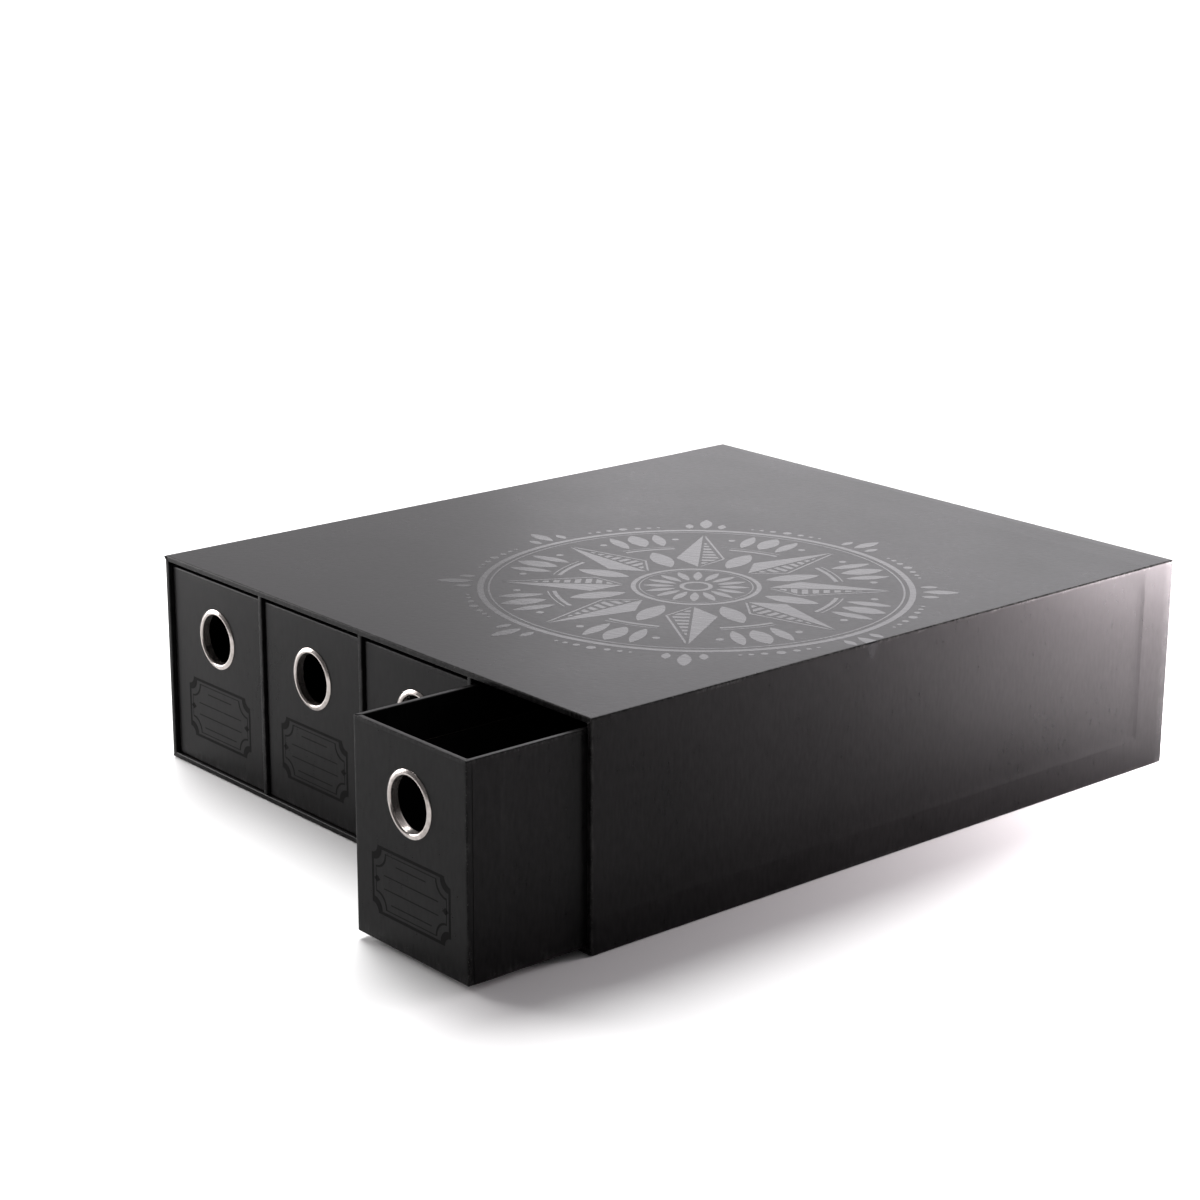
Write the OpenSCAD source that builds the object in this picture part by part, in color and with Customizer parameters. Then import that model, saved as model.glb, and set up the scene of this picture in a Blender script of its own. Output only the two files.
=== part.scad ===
// Card storage box: a wrapped-board case with four long card drawers.
// Millimetres, +Z up. The origin is the middle of the case's underside, and the drawer fronts face -Y.
// Every board wall is mitred at its corners and wrapped in paper that turns in over its free edge.

/* [Case] */
// Width of the case over its cover paper
case_w = 350; // [300:1:420]
// Depth of the case, from the front edges of its walls to the sheet on its back
case_d = 405; // [300:1:450]
// Height of the case
case_h = 113.5; // [108:0.5:140]
// Thickness of the greyboard in the case and its dividers
case_board_t = 2.6; // [2:0.1:3.5]
// How far the dividers' front edges stand behind the case's front edges
divider_setback = 0.6; // [0:0.1:1.4]

/* [Drawers] */
// Thickness of the greyboard in the drawers
drawer_board_t = 2.5; // [2:0.1:3.5]
// Gap between a drawer's side and its bay
drawer_side_gap = 0.8; // [0.6:0.1:2]
// Gap above a drawer
drawer_top_gap = 2.6; // [1:0.1:6]
// Running gap under a drawer
drawer_floor_gap = 0.3; // [0.3:0.05:1]
// Gap behind a closed drawer
drawer_back_gap = 0.4; // [0.3:0.1:3]
// How far a closed drawer front stands behind the case's front edges
front_setback = 2.2; // [1.5:0.1:6]
// How far the right-hand drawer is pulled out
pulled_out = 69; // [0:1:250]

/* [Papers] */
// Thickness of the covering and lining papers
paper_t = 0.2; // [0.15:0.01:0.3]
// Thickness of the stay tape over the board joints
tape_t = 0.2; // [0.15:0.01:0.3]
// Width of the stay tape on each side of a bottom edge
base_tape_w = 17; // [12:1:25]
// Width of the stay tape on each side of a back edge
back_tape_w = 22; // [15:1:30]
// How much narrower a turned paper flap is than the tape under it
flap_step = 3; // [1:0.5:6]
// Bare margin round the sheets on the base and the back
sheet_margin = 2; // [1:0.5:4]
// Where the stay tape starts behind the front edges of the boards
tape_start = 4; // [3:0.5:10]
// How far the case papers turn in at the mouth
case_turn_in = 15; // [11:1:30]
// How far the drawer papers turn in over the rim
drawer_turn_in = 20; // [12:1:30]
// Length of the front paper's flaps along a drawer's sides
front_flap = 18; // [10:1:35]
// Where the side paper starts behind a drawer's front board
side_paper_start = 3; // [1.5:0.5:8]

/* [Edges] */
// Radius of a board at its free edge
lip_r = 0.4; // [0.3:0.05:0.9]
// Radius of a board at a folded edge
fold_r = 0.5; // [0.2:0.05:0.8]

/* [Finger rings] */
// Outer diameter of a finger ring
ring_d = 32.3; // [31:0.1:40]
// Clear diameter through the ring
ring_bore_d = 26.5; // [22:0.1:27]
// Height of the ring's crown, which is also its radius into the bore
ring_dome_h = 1.1; // [0.8:0.05:1.4]
// How far the ring's centre lies below the drawer's rim
ring_drop = 31.2; // [25:0.1:50]
// Thickness of the ring's metal
ring_metal_t = 0.4; // [0.3:0.05:0.5]
// Clearance round the ring's barrel in the board
ring_clearance = 0.25; // [0.1:0.05:0.4]
// Thickness of the washer behind the ring
washer_t = 0.4; // [0.3:0.05:0.6]
// Radius of the roll that clenches the barrel over the washer
clench_r = 0.9; // [0.7:0.05:1]

/* [Hidden] */
case_parts = [
    "case_top_board", "case_left_board", "case_right_board", "case_bottom_board", "case_back_board",
    "base_stay_tapes", "back_stay_tape", "cover_paper", "base_paper", "back_paper", "case_lining",
    "back_lining", "divider_1_board", "divider_2_board", "divider_3_board", "divider_1_paper",
    "divider_2_paper", "divider_3_paper"
];
drawer_parts = [
    "front_board", "left_board", "right_board", "back_board", "bottom_board", "front_paper", "side_paper",
    "lining", "finger_ring", "ring_washer"
];
drawer_count = 4;
$fn = 64;
// Length by which a cutting block passes the face that it cuts
overrun = 1;

// Sides of a tube, counted round from +X, looking into its mouth
right_side = 0;
top_side = 1;
back_side = 1;
left_side = 2;
bottom_side = 3;
front_side = 3;

// Layers on the outside of the case's boards: tape, then a turned flap, then a flat sheet
flap_out = tape_t + paper_t;
sheet_out = flap_out + paper_t;
base_flap_w = base_tape_w - flap_step;
back_flap_w = back_tape_w - flap_step;

// The case's boards: half their width and height, their middle, and their ends
case_hx = case_w / 2 - paper_t;
case_hz = (case_h - paper_t - sheet_out) / 2;
board_base = sheet_out;
board_mid = board_base + case_hz;
board_top = board_mid + case_hz;
board_front = paper_t - case_d / 2;
board_back = case_d / 2 - sheet_out;

// The space inside the lined case, and how the dividers share it
case_wall_t = case_board_t + paper_t;
bay_floor = board_base + case_wall_t;
bay_top = board_top - case_wall_t;
bay_end = board_back - case_wall_t;
divider_t = case_board_t + 2 * paper_t;
divider_front = divider_setback - case_d / 2;
bay_w = (2 * (case_hx - case_wall_t) - (drawer_count - 1) * divider_t) / drawer_count;
bay_pitch = bay_w + divider_t;

// A drawer over its papers, then its boards. It stands on its own underside, with its middle at 0.
drawer_w = bay_w - 2 * drawer_side_gap;
drawer_h = bay_top - bay_floor - drawer_floor_gap - drawer_top_gap;
drawer_d = bay_end - drawer_back_gap - front_setback + case_d / 2;
drawer_hx = drawer_w / 2 - paper_t;
drawer_hy = drawer_d / 2 - paper_t;
drawer_rim = drawer_h - paper_t;
drawer_floor = paper_t + drawer_board_t;
turn_in_end = drawer_rim - drawer_turn_in;
flap_top = drawer_rim - 2 * lip_r;
drawer_y = front_setback - case_d / 2 + drawer_d / 2;
drawer_z = bay_floor + drawer_floor_gap;

// A finger ring, in its own section
ring_centre_h = drawer_h - ring_drop;
barrel_r = ring_bore_d / 2;
flange_w = ring_d / 2 - barrel_r - ring_dome_h;
flange_r = (flange_w * flange_w + ring_dome_h * ring_dome_h) / (2 * ring_dome_h);
ring_hole_r = barrel_r + ring_metal_t + ring_clearance;
front_wall_t = drawer_board_t + 2 * paper_t;
barrel_end = front_wall_t + washer_t;

board_colour = "#8f887b";
tape_colour = "#b39a72";
cover_colour = "#3a3a3c";
lining_colour = "#161616";
metal_colour = "#c9c6c4";

function bay_x(i) = (i - (drawer_count + 1) / 2) * bay_pitch;
function divider_x(i) = (i - drawer_count / 2) * bay_pitch;
function drawer_out(i) = i == drawer_count ? pulled_out : 0;

// A box given by its ranges along X, Y and Z
module block(x, y, z) {
    translate([x[0], y[0], z[0]])
        cube([x[1] - x[0], y[1] - y[0], z[1] - z[0]]);
}

module both_sides() {
    children();
    mirror([1, 0, 0])
        children();
}

module rounded_rect(half_x, half_y, r) {
    square([2 * (half_x - r), 2 * half_y], center = true);
    square([2 * half_x, 2 * (half_y - r)], center = true);
    for (x = [r - half_x, half_x - r])
        for (y = [r - half_y, half_y - r])
            translate([x, y])
                circle(r);
}

// A board seen along its free edge, which lies at y = 0 with both corners rounded
module edge_section(outer, t, depth, r) {
    translate([outer - t, -depth])
        square([t, depth - r]);
    translate([outer - t + r, -depth])
        square([t - 2 * r, depth]);
    for (x = [outer - t + r, outer - r])
        translate([x, -r])
            circle(r);
}

// The space between two such boards, w to each side of the middle, past both ends of them
module mouth_section(w, t, depth, r) {
    difference() {
        translate([-w - r, -depth - overrun])
            square([2 * (w + r), depth + 2 * overrun]);
        for (outer = [-w, w + t])
            edge_section(outer, t, depth + 2 * overrun, r);
    }
}

// Stretches a section that is drawn in x and z, this far to each side along y
module along_y(reach) {
    rotate([90, 0, 0])
        linear_extrude(2 * reach, center = true)
            children();
}

module along_x(reach) {
    rotate([0, 0, 90])
        along_y(reach)
            children();
}

// A tube that opens at z = 0. half is its [x, y] half size.
// It is rounded by lip at the mouth, inside and out, and by fold at the folded edges.
module tube_form(half, t, depth, lip, fold) {
    reach = half[0] + half[1];
    difference() {
        intersection() {
            translate([0, 0, -depth])
                linear_extrude(depth)
                    rounded_rect(half[0], half[1], fold);
            along_y(reach)
                edge_section(half[0], 2 * half[0], depth + overrun, lip);
            along_x(reach)
                edge_section(half[1], 2 * half[1], depth + overrun, lip);
        }
        intersection() {
            along_y(reach)
                mouth_section(half[0] - t, t, depth, lip);
            along_x(reach)
                mouth_section(half[1] - t, t, depth, lip);
        }
    }
}

// The share of a tube that is one wall's, between the mitres at its corners
module mitre_wedge(side, half, t, depth) {
    n = (side % 2 == 0 ? half[0] : half[1]) + overrun;
    s = (side % 2 == 0 ? half[1] : half[0]) + overrun;
    width = t + 2 * overrun;
    rotate([0, 0, 90 * side])
        translate([0, 0, -depth - overrun])
            linear_extrude(depth + 2 * overrun)
                polygon([[n, -s], [n, s], [n - width, s - width], [n - width, width - s]]);
}

// One mitred wall of such a tube
module tube_wall(side, half, t, depth) {
    intersection() {
        tube_form(half, t, depth, lip_r, fold_r);
        mitre_wedge(side, half, t, depth);
    }
}

// The paper over a tube's free edge, to this depth outside and inside
module mouth_wrap(half, t, depth) {
    difference() {
        translate([0, 0, paper_t])
            tube_form(half + [paper_t, paper_t], t + 2 * paper_t, depth + paper_t, lip_r + paper_t,
                fold_r + paper_t);
        tube_form(half, t, depth + overrun, lip_r, fold_r);
    }
}

// Turns a tube that opens towards +Z so that it opens at the front of the case
module at_mouth() {
    translate([0, board_front, board_mid])
        rotate([90, 0, 0])
            children();
}

module case_wall(side) {
    color(board_colour)
        at_mouth()
            tube_wall(side, [case_hx, case_hz], case_board_t, board_back - board_front);
}

module case_mouth_wrap() {
    at_mouth()
        mouth_wrap([case_hx, case_hz], case_board_t, case_turn_in);
}

// What the bottom board's own paper covers at the mouth
module case_base_wedge() {
    at_mouth()
        mitre_wedge(bottom_side, [case_hx, case_hz], case_board_t, case_turn_in);
}

// The outside of the case's boards, grown by the layers on it
module case_form(grow, y) {
    translate([0, y[1], board_mid])
        rotate([90, 0, 0])
            linear_extrude(y[1] - y[0])
                rounded_rect(case_hx + grow, case_hz + grow, fold_r + grow);
}

// The case as a block, with its skin taken off as deep as inset
module case_core(inset, y) {
    if (inset == 0)
        case_form(0, y);
    else
        block([inset - case_hx, case_hx - inset], y, [board_base + inset, board_top - inset]);
}

// What lies inside strips of these widths on the underside. It is open towards the front.
module base_window(strip, back_strip, z) {
    block([strip - case_hx, case_hx - strip], [-case_d, board_back - back_strip], z);
}

// Strips of these widths along the sides and the back of the underside
module base_strips(strip, back_strip, start, z) {
    difference() {
        block([-case_w, case_w], [start, board_back], z);
        base_window(strip, back_strip, [z[0] - overrun, z[1] + overrun]);
    }
}

// What lies inside a strip of this width on the back. It is open towards the bottom.
module back_window(strip, y) {
    block([strip - case_hx, case_hx - strip], y, [-case_h, board_top - strip]);
}

module case_back_board() {
    half_x = case_hx - case_board_t;
    color(board_colour)
        block([-half_x, half_x], [board_back - case_board_t, board_back],
            [board_base + case_board_t, board_top - case_board_t]);
}

// Two strips round the bottom edges, as thick as the tape and as deep into the board as inset
module base_tape_form(inset) {
    difference() {
        case_form(tape_t, [board_front + tape_start, board_back - back_tape_w]);
        case_core(inset, [board_front, board_back]);
        block([-case_w, case_w], [-case_d, case_d], [board_base + base_tape_w, case_h + overrun]);
        base_window(base_tape_w, 0, [-overrun, board_base + overrun]);
    }
}

module base_stay_tapes() {
    color(tape_colour)
        base_tape_form(0);
}

// A frame round all four back edges, as thick as the tape and as deep into the board as inset
module back_tape_form(inset) {
    difference() {
        case_form(tape_t, [board_back - back_tape_w, board_back + tape_t]);
        case_core(inset, [board_front, board_back - inset]);
        block([back_tape_w - case_hx, case_hx - back_tape_w], [board_front, case_d],
            [board_base + back_tape_w, board_top - back_tape_w]);
    }
}

module back_stay_tape() {
    color(tape_colour)
        back_tape_form(0);
}

// One sheet over the left side, the top and the right side. It turns in at the mouth,
// steps over the stay tapes, and ends in flaps on the underside and the back.
module cover_paper() {
    over_base_tape = [board_front + tape_start - paper_t, board_back];
    over_back_tape = [board_back - back_tape_w - paper_t, board_back + flap_out];
    half_tape = tape_t / 2;
    color(cover_colour)
        difference() {
            union() {
                difference() {
                    case_mouth_wrap();
                    case_base_wedge();
                }
                difference() {
                    union() {
                        case_form(paper_t, [board_front + tape_start, board_back]);
                        intersection() {
                            case_form(flap_out, over_base_tape);
                            block([-case_w, case_w], over_base_tape, [0, board_base + base_tape_w + paper_t]);
                        }
                        case_form(flap_out, over_back_tape);
                    }
                    case_form(0, [board_front, board_back]);
                }
            }
            base_tape_form(case_board_t / 2);
            back_tape_form(case_board_t / 2);
            base_window(base_flap_w, back_flap_w - overrun, [-overrun, board_base + overrun]);
            block([-case_hx - tape_t, case_hx + tape_t], [board_back - back_flap_w, board_back + half_tape],
                [-overrun, board_base - half_tape]);
            block([-case_hx - tape_t, case_hx + tape_t], [board_back + half_tape, case_d],
                [-overrun, board_base]);
            back_window(back_flap_w, [board_back - overrun, case_d]);
        }
}

// The sheet under the base, turned in over the bottom board's front edge
module base_paper() {
    half_x = case_hx - sheet_margin;
    flap_start = board_front + tape_start - paper_t;
    color(cover_colour)
        difference() {
            union() {
                intersection() {
                    case_mouth_wrap();
                    case_base_wedge();
                }
                block([-half_x, half_x], [flap_start - paper_t, board_back - sheet_margin], [0, board_base]);
            }
            base_strips(base_flap_w, back_flap_w, flap_start, [paper_t, board_base + overrun]);
            base_strips(base_tape_w, back_tape_w, flap_start + paper_t, [board_base - tape_t, board_base + overrun]);
            base_window(base_flap_w + paper_t, back_flap_w + paper_t, [-overrun, paper_t]);
            base_window(base_tape_w + paper_t, back_tape_w + paper_t, [-overrun, board_base - paper_t]);
        }
}

// The sheet on the back, with a flap turned under the base
module back_paper() {
    half_x = case_hx - sheet_margin;
    outside = board_back + sheet_out;
    color(cover_colour)
        difference() {
            union() {
                block([-half_x, half_x], [board_back, outside], [board_base - flap_out, board_top - sheet_margin]);
                block([-half_x, half_x], [board_back - back_flap_w, outside],
                    [board_base - flap_out, board_base - tape_t]);
            }
            difference() {
                block([-case_hx, case_hx], [board_back - overrun, board_back + flap_out], [board_base, board_top]);
                back_window(back_flap_w, [board_front, case_d]);
            }
            back_tape_form(case_board_t / 2);
            back_window(back_flap_w + paper_t, [board_back + flap_out, outside + overrun]);
            block([back_tape_w + paper_t - case_hx, case_hx - back_tape_w - paper_t],
                [board_back + paper_t, outside + overrun],
                [board_base + back_tape_w + paper_t, board_top - back_tape_w - paper_t]);
        }
}

// The lining of the case's four walls, from the turn-ins to the back board
module case_lining() {
    half_x = case_hx - case_board_t;
    start = board_front + case_turn_in;
    end = board_back - case_board_t;
    color(lining_colour)
        difference() {
            block([-half_x, half_x], [start, end], [board_base + case_board_t, board_top - case_board_t]);
            block([paper_t - half_x, half_x - paper_t], [start - overrun, end + overrun], [bay_floor, bay_top]);
        }
}

module back_lining() {
    half_x = case_hx - case_wall_t;
    color(lining_colour)
        block([-half_x, half_x], [bay_end, bay_end + paper_t], [bay_floor, bay_top]);
}

// A divider's outline from above, with its rounded free edge at the front, and past its other edges by over
module divider_form(i, front, t, r, over) {
    translate([divider_x(i), front, bay_floor - over])
        mirror([0, 1, 0])
            linear_extrude(bay_top - bay_floor + 2 * over)
                edge_section(t / 2, t, bay_end - front + over, r);
}

module divider_board(i) {
    color(board_colour)
        divider_form(i, divider_front + paper_t, case_board_t, lip_r, 0);
}

module divider_paper(i) {
    color(cover_colour)
        difference() {
            divider_form(i, divider_front, divider_t, lip_r + paper_t, 0);
            divider_form(i, divider_front + paper_t, case_board_t, lip_r, overrun);
        }
}

module at_drawer(i) {
    translate([bay_x(i), drawer_y - drawer_out(i), drawer_z])
        children();
}

module drawer_wall(i, side) {
    color(board_colour)
        at_drawer(i)
            translate([0, 0, drawer_rim])
                tube_wall(side, [drawer_hx, drawer_hy], drawer_board_t, drawer_rim - paper_t);
}

module drawer_rim_wrap() {
    translate([0, 0, drawer_rim])
        mouth_wrap([drawer_hx, drawer_hy], drawer_board_t, drawer_turn_in);
}

// What the front's own paper covers at the rim
module drawer_front_wedge() {
    translate([0, 0, drawer_rim])
        mitre_wedge(front_side, [drawer_hx, drawer_hy], drawer_board_t, drawer_turn_in);
}

// The outside of a drawer's boards, grown by the layers on it
module drawer_form(grow, z) {
    translate([0, 0, z[0]])
        linear_extrude(z[1] - z[0])
            rounded_rect(drawer_hx + grow, drawer_hy + grow, fold_r + grow);
}

// Puts a round piece on the finger ring's axis, with its z = 0 on the drawer's front face
module on_ring_axis() {
    translate([0, -drawer_d / 2, ring_centre_h])
        rotate([-90, 0, 0])
            children();
}

module ring_hole() {
    on_ring_axis()
        translate([0, 0, -overrun])
            cylinder(r = ring_hole_r, h = front_wall_t + 2 * overrun);
}

module drawer_front_board(i) {
    color(board_colour)
        difference() {
            drawer_wall(i, front_side);
            at_drawer(i)
                ring_hole();
        }
}

module drawer_bottom_board(i) {
    half_x = drawer_hx - drawer_board_t;
    half_y = drawer_hy - drawer_board_t;
    color(board_colour)
        at_drawer(i)
            block([-half_x, half_x], [-half_y, half_y], [paper_t, drawer_floor]);
}

// The front's own paper below the rim: round both corners, under the side paper, and in under the front
module front_skin() {
    difference() {
        drawer_form(paper_t, [0, flap_top]);
        drawer_form(0, [paper_t, drawer_h]);
        block([-drawer_w, drawer_w], [front_flap - drawer_hy, drawer_d], [-overrun, drawer_h]);
        block([-drawer_hx, drawer_hx], [side_paper_start - drawer_hy, drawer_d], [-overrun, drawer_floor]);
    }
}

// The room that this paper takes in the side paper, as deep into the boards as their middle
module front_pocket() {
    half_board = drawer_board_t / 2;
    half_x = drawer_hx - half_board;
    start = side_paper_start - drawer_hy;
    difference() {
        drawer_form(paper_t, [0, flap_top]);
        block([-half_x, half_x], [half_board - drawer_hy, drawer_d], [-overrun, drawer_h]);
        block([-drawer_w, drawer_w], [front_flap - drawer_hy, drawer_d], [-overrun, drawer_h]);
        block([-drawer_hx, drawer_hx], [start, drawer_d], [-overrun, paper_t]);
    }
    both_sides()
        block([half_x, drawer_w], [-drawer_d, start], [-overrun, flap_top]);
}

module drawer_front_paper(i) {
    color(cover_colour)
        at_drawer(i)
            difference() {
                union() {
                    front_skin();
                    intersection() {
                        drawer_rim_wrap();
                        drawer_front_wedge();
                    }
                }
                ring_hole();
            }
}

// One sheet under the drawer and over its sides and back, in over their rims
module drawer_side_paper(i) {
    start = side_paper_start - drawer_hy;
    flap_end = front_flap - drawer_hy;
    color(cover_colour)
        at_drawer(i)
            difference() {
                union() {
                    difference() {
                        drawer_rim_wrap();
                        drawer_front_wedge();
                    }
                    difference() {
                        union() {
                            drawer_form(paper_t, [0, flap_top]);
                            intersection() {
                                drawer_form(2 * paper_t, [0, flap_top + paper_t]);
                                block([-drawer_w, drawer_w], [start, flap_end + paper_t], [-overrun, drawer_h]);
                            }
                        }
                        drawer_form(0, [paper_t, drawer_h]);
                        block([-drawer_w, drawer_w], [-drawer_d, start], [-overrun, drawer_h]);
                    }
                }
                front_pocket();
            }
}

// A tray of lining paper on the drawer's floor and up its walls to the turn-ins
module drawer_lining(i) {
    half_x = drawer_hx - drawer_board_t;
    half_y = drawer_hy - drawer_board_t;
    color(lining_colour)
        at_drawer(i)
            difference() {
                block([-half_x, half_x], [-half_y, half_y], [drawer_floor, turn_in_end]);
                block([paper_t - half_x, half_x - paper_t], [paper_t - half_y, half_y - paper_t],
                    [drawer_floor + paper_t, drawer_h]);
                ring_hole();
            }
}

// A curled strip of the ring's metal in section, centred on this point
module curl(x, y, r) {
    translate([x, y])
        difference() {
            circle(r);
            circle(r - ring_metal_t);
        }
}

// A flange that rises to a crown, a straight barrel through the front, and the roll that clenches it inside
module drawer_finger_ring(i) {
    crown_x = barrel_r + ring_dome_h;
    color(metal_colour)
        at_drawer(i)
            on_ring_axis()
                rotate_extrude() {
                    intersection() {
                        curl(crown_x, 0, ring_dome_h);
                        translate([0, -ring_d])
                            square([crown_x, ring_d]);
                    }
                    intersection() {
                        curl(crown_x, flange_r - ring_dome_h, flange_r);
                        translate([crown_x, -ring_d])
                            square(ring_d);
                    }
                    translate([barrel_r, 0])
                        square([ring_metal_t, barrel_end]);
                    intersection() {
                        curl(barrel_r + clench_r, barrel_end, clench_r);
                        translate([0, barrel_end])
                            square(ring_d);
                    }
                }
}

module drawer_ring_washer(i) {
    color(metal_colour)
        at_drawer(i)
            on_ring_axis()
                translate([0, 0, front_wall_t])
                    difference() {
                        cylinder(d = ring_d, h = washer_t);
                        translate([0, 0, -overrun])
                            cylinder(r = ring_hole_r, h = washer_t + 2 * overrun);
                    }
}

case_wall(top_side);  // case_top_board
case_wall(left_side);  // case_left_board
case_wall(right_side);  // case_right_board
case_wall(bottom_side);  // case_bottom_board
case_back_board();
base_stay_tapes();
back_stay_tape();
cover_paper();
base_paper();
back_paper();
case_lining();
back_lining();
for (i = [1 : drawer_count - 1]) {
    divider_board(i);
    divider_paper(i);
}
for (i = [1 : drawer_count]) {
    drawer_front_board(i);
    drawer_wall(i, left_side);
    drawer_wall(i, right_side);
    drawer_wall(i, back_side);
    drawer_bottom_board(i);
    drawer_front_paper(i);
    drawer_side_paper(i);
    drawer_lining(i);
    drawer_finger_ring(i);
    drawer_ring_washer(i);
}
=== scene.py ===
import math
import bmesh
import bpy
from mathutils import Matrix, Vector


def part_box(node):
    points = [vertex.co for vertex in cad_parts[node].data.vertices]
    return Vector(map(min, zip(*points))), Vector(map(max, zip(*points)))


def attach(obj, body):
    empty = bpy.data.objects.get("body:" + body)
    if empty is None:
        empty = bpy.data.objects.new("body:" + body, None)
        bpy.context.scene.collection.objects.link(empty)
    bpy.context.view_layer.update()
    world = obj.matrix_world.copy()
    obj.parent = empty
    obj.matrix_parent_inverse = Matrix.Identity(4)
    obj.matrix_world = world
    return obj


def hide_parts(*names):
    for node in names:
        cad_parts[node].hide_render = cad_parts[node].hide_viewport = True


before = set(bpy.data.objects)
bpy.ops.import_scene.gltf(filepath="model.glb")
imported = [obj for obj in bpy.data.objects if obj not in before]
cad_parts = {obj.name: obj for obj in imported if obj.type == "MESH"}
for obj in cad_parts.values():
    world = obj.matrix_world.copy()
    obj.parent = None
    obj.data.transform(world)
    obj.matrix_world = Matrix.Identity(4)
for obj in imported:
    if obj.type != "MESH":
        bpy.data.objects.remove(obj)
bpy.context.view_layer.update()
scene = bpy.context.scene
mm = 0.001
drawerCount = 4
sharpAngle = math.radians(50)
weldGap = 0.002 * mm
tiny = 1e-6
print("frame loaded")


# small helpers

def smooth(x):
    x = min(max(x, 0.0), 1.0)
    return x * x * (3 - 2 * x)


# paper that bridges up to an edge: a soft start, an even slope, then a crisp end
def bridge(x, soft=0.4):
    x = min(max(x, 0.0), 1.0)
    rise = x * x / (2 * soft) if x < soft else x - soft / 2
    return rise / (1 - soft / 2)


# even samples from start to end, with close ones round each mark
def samples(start, end, step, marks=(), reach=3.0 * mm, fineStep=0.3 * mm):
    count = max(1, round(abs(end - start) / step))
    values = {start + (end - start) * k / count for k in range(count + 1)}
    lo, hi = min(start, end), max(start, end)
    for mark in marks:
        values -= {v for v in values if abs(v - mark) < reach and v not in (start, end)}
        fine = round(reach / fineStep)
        values |= {mark + fineStep * k for k in range(-fine, fine + 1) if lo < mark + fineStep * k < hi}
    return sorted(values, reverse=end < start)


def addNode(tree, kind, links=None, **values):
    node = tree.nodes.new("ShaderNode" + kind)
    for key, value in values.items():
        setattr(node, key, value)
    for socket, source in (links or {}).items():
        if isinstance(source, bpy.types.NodeSocket):
            tree.links.new(source, node.inputs[socket])
        else:
            node.inputs[socket].default_value = source
    return node


def spread(tree, value, source, target=(0.0, 1.0)):
    return addNode(tree, "MapRange", {"Value": value, "From Min": source[0], "From Max": source[1],
                                      "To Min": target[0], "To Max": target[1]}).outputs[0]


def tint(tree, share, one, other):
    return addNode(tree, "Mix", {"Factor": share, "A": one, "B": other}, data_type="RGBA").outputs["Result"]


def twoTones(tree, share, look, names=("dark", "light")):
    return tint(tree, share, *((*look[name], 1) for name in names))


def press(tree, bsdf, height, strength, depth):
    bump = addNode(tree, "Bump", {"Height": height, "Strength": strength, "Distance": depth})
    tree.links.new(bump.outputs["Normal"], bsdf.inputs["Normal"])


def newMaterial(name):
    material = bpy.data.materials.new(name)
    material.use_nodes = True
    return material, material.node_tree, material.node_tree.nodes["Principled BSDF"]


def newObject(name, mesh, material):
    thing = bpy.data.objects.new(name, mesh)
    scene.collection.objects.link(thing)
    mesh.materials.append(material)
    return thing


def meshData(name, mesh):
    data = bpy.data.meshes.new(name)
    mesh.to_mesh(data)
    mesh.free()
    return data


# smooth faces between the neighbouring columns of a grid
def fillGrid(mesh, grid):
    for left, right in zip(grid, grid[1:]):
        for j in range(len(left) - 1):
            mesh.faces.new((left[j], left[j + 1], right[j + 1], right[j])).smooth = True


# faces between two closed loops of as many points
def joinLoops(mesh, here, there, rounded=False):
    for k in range(len(here)):
        n = (k + 1) % len(here)
        mesh.faces.new((here[k], here[n], there[n], there[k])).smooth = rounded


# materials

# paper: two near black tones in a soft mottle, a rub along the folds that on the case's upper folds also
# paints a sheen, and a laminate shine
coverPaper = {
    "dark": (0.0020, 0.0019, 0.0020),
    "light": (0.0066, 0.0063, 0.0065),
    # the rub colour, which also paints the sheen along the case's upper folds
    "rubAndSheen": (0.10, 0.097, 0.095),
    "rubShare": 0.12,
    "specks": 0.5,
    "mottleSize": 1.9 * mm,
    "uprightStretch": 0.3,
    "levelStretch": 0.55,
    "levelTurn": -0.45,
    "mottleDetail": 2.5,
    "mottleRoughness": 0.55,
    "fineSize": 0.7 * mm,
    "fineShare": 0.2,
    "cloudSize": 60 * mm,
    "cloudShare": 0.35,
    "toneRange": (0.34, 0.66),
    "rubRange": (0.42, 0.66),
    "chipRange": (0.64, 0.70),
    "roughness": (0.27, 0.33),
    "shine": 0.06,
    "grainDepth": 0.05 * mm,
    "uprightBump": 0.2,
    "levelBump": 1.0,
}
liningPaper = dict(coverPaper, dark=(0.003, 0.003, 0.003), light=(0.007, 0.0068, 0.0068),
                   shine=0.1, roughness=(0.6, 0.8), rubShare=0.1)
glossPrint = dict(coverPaper, dark=(0.0038, 0.0038, 0.0044), light=(0.0094, 0.0094, 0.0110),
                  shine=0.108, roughness=(0.13, 0.22), rubShare=0.0, specks=0.0,
                  levelStretch=0.25, grainDepth=0.10 * mm)
labelPrint = dict(coverPaper, dark=(0.0010, 0.0009, 0.0010), light=(0.0030, 0.0028, 0.0029),
                  shine=0.03, roughness=(0.5, 0.6), rubShare=0.0, specks=0.0)
wornPaper = dict(coverPaper, rubShare=0.9)


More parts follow.
